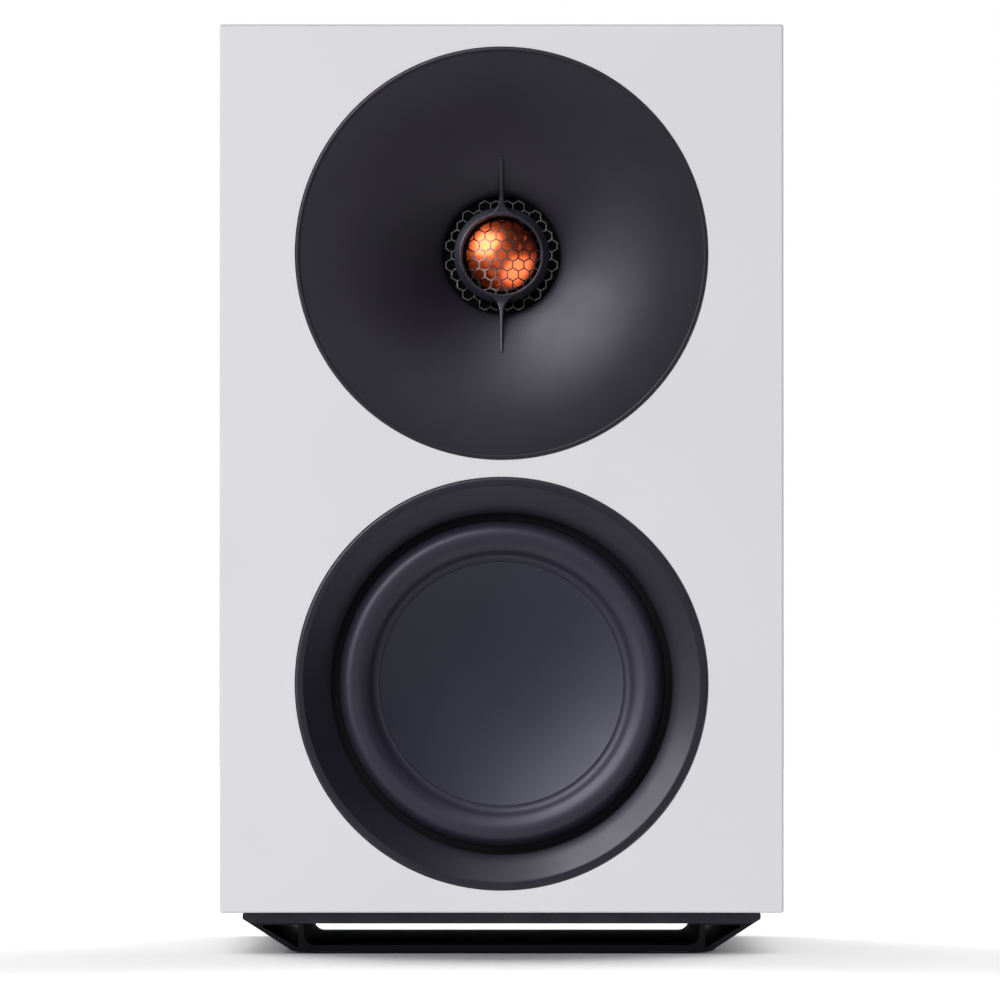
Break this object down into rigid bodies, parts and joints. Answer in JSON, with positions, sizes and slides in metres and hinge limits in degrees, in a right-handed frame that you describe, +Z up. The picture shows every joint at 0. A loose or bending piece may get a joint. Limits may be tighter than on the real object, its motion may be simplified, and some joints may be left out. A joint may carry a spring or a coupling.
{
  "type": "bookshelf speaker",
  "caption": "Two-way bookshelf loudspeaker: white box with a round horn-loaded dome tweeter above a dished-cone woofer, on a low dark plinth.",
  "frame": {"origin": "on the surface that the speaker stands on, under the middle of its bounding box", "axes": "+Z up, the speaker faces -Y, +X is to the right as the viewer in front of it sees it"},
  "size_m": [0.203, 0.2852, 0.3344],
  "materials": {
    "white_lacquer": "satin white lacquer on MDF, very fine orange peel",
    "mdf": "bare MDF",
    "wadding": "white polyester wadding",
    "black_plastic": "satin charcoal moulded plastic",
    "rubber": "smooth dark rubber",
    "cone_graphite": "graphite-grey moulded cone, satin",
    "dark_mesh": "dark grey honeycomb sheet metal, slightly worn bright on its edges",
    "copper_dome": "glossy orange copper-coloured metal diaphragm",
    "steel": "zinc-plated steel",
    "dark_steel": "black passivated steel",
    "ferrite": "sintered ferrite, matt",
    "copper_wire": "enamelled copper wire",
    "brass": "gold-plated brass",
    "spider_cloth": "resin-treated woven cloth and paper",
    "board_green": "green fibreglass circuit board",
    "red_plastic": "red moulded plastic",
    "capacitor_film": "red film capacitor sleeve",
    "capacitor_can": "dark blue capacitor sleeve",
    "basket_alloy": "black-painted die-cast alloy",
    "anodised": "dark grey anodised extrusion",
    "cable_sheath": "black cable sheath"
  },
  "bodies": {
    "cabinet": {"left_side_panel": "white_lacquer", "right_side_panel": "white_lacquer", "top_panel": "white_lacquer", "bottom_panel": "white_lacquer", "front_baffle": "white_lacquer", "rear_panel": "white_lacquer", "brace_panel": "mdf", "damping_lining": "wadding", "waveguide": "black_plastic", "tweeter_bridge_ring": "black_plastic", "tweeter_grille": "dark_mesh", "tweeter_surround": "rubber", "tweeter_top_plate": "dark_steel", "tweeter_magnet": "ferrite", "tweeter_yoke": "dark_steel", "tweeter_rear_chamber": "black_plastic", "woofer_trim_ring": "black_plastic", "woofer_surround": "rubber", "woofer_spider": "spider_cloth", "woofer_basket": "basket_alloy", "woofer_gasket": "rubber", "woofer_top_plate": "steel", "woofer_magnet": "ferrite", "woofer_yoke": "steel", "woofer_terminal_strip": "board_green", "port_tube": "black_plastic", "terminal_plate": "black_plastic", "crossover_board": "board_green", "low_pass_inductor": "copper_wire", "high_pass_inductor": "copper_wire", "low_pass_capacitor": "capacitor_can", "high_pass_capacitor": "capacitor_film", "woofer_cable": "cable_sheath", "tweeter_cable": "cable_sheath", "plinth": "anodised", "woofer_screw_1": "dark_steel", "plinth_screw_1": "dark_steel", "foot_pad_1": "rubber", "woofer_screw_2": "dark_steel", "plinth_screw_2": "dark_steel", "foot_pad_2": "rubber", "woofer_screw_3": "dark_steel", "plinth_screw_3": "dark_steel", "foot_pad_3": "rubber", "woofer_screw_4": "dark_steel", "plinth_screw_4": "dark_steel", "foot_pad_4": "rubber", "post_stud_red": "brass", "post_nut_red": "brass", "post_stud_black": "brass", "post_nut_black": "brass"},
    "woofer_diaphragm": {"woofer_cone": "cone_graphite", "woofer_coil_former": "spider_cloth", "woofer_voice_coil": "copper_wire"},
    "tweeter_diaphragm": {"tweeter_dome": "copper_dome", "tweeter_voice_coil": "copper_wire"},
    "red_clamp_washer": {"post_washer_red": "brass"},
    "red_cap": {"post_cap_red": "red_plastic"},
    "black_clamp_washer": {"post_washer_black": "brass"},
    "black_cap": {"post_cap_black": "black_plastic"}
  },
  "joints": [
    {"name": "woofer_travel", "type": "slide", "parent": "cabinet", "child": "woofer_diaphragm", "axis": [0, 1, 0], "range_m": [-0.0045, 0.0045], "stiffness_N_per_m": 1000, "deforming": ["woofer_surround", "woofer_spider"]},
    {"name": "tweeter_travel", "type": "slide", "parent": "cabinet", "child": "tweeter_diaphragm", "axis": [0, 1, 0], "range_m": [-0.0004, 0.0004], "stiffness_N_per_m": 200, "deforming": ["tweeter_surround"]},
    {"name": "post_red_rise", "type": "slide", "parent": "cabinet", "child": "red_clamp_washer", "axis": [0, 1, 0], "range_m": [0, 0.005]},
    {"name": "post_red_turn", "type": "hinge", "parent": "red_clamp_washer", "child": "red_cap", "pos_m": [0.0095, 0.13315, 0.058], "axis": [0, 1, 0], "range_deg": [0, 1801]},
    {"name": "post_black_rise", "type": "slide", "parent": "cabinet", "child": "black_clamp_washer", "axis": [0, 1, 0], "range_m": [0, 0.005]},
    {"name": "post_black_turn", "type": "hinge", "parent": "black_clamp_washer", "child": "black_cap", "pos_m": [-0.0095, 0.13315, 0.058], "axis": [0, 1, 0], "range_deg": [0, 1801]}
  ],
  "couplings": [
    {"joint": "post_red_turn", "follows": "post_red_rise", "rad_per_m": 6283.2},
    {"joint": "post_black_turn", "follows": "post_black_rise", "rad_per_m": 6283.2}
  ]
}
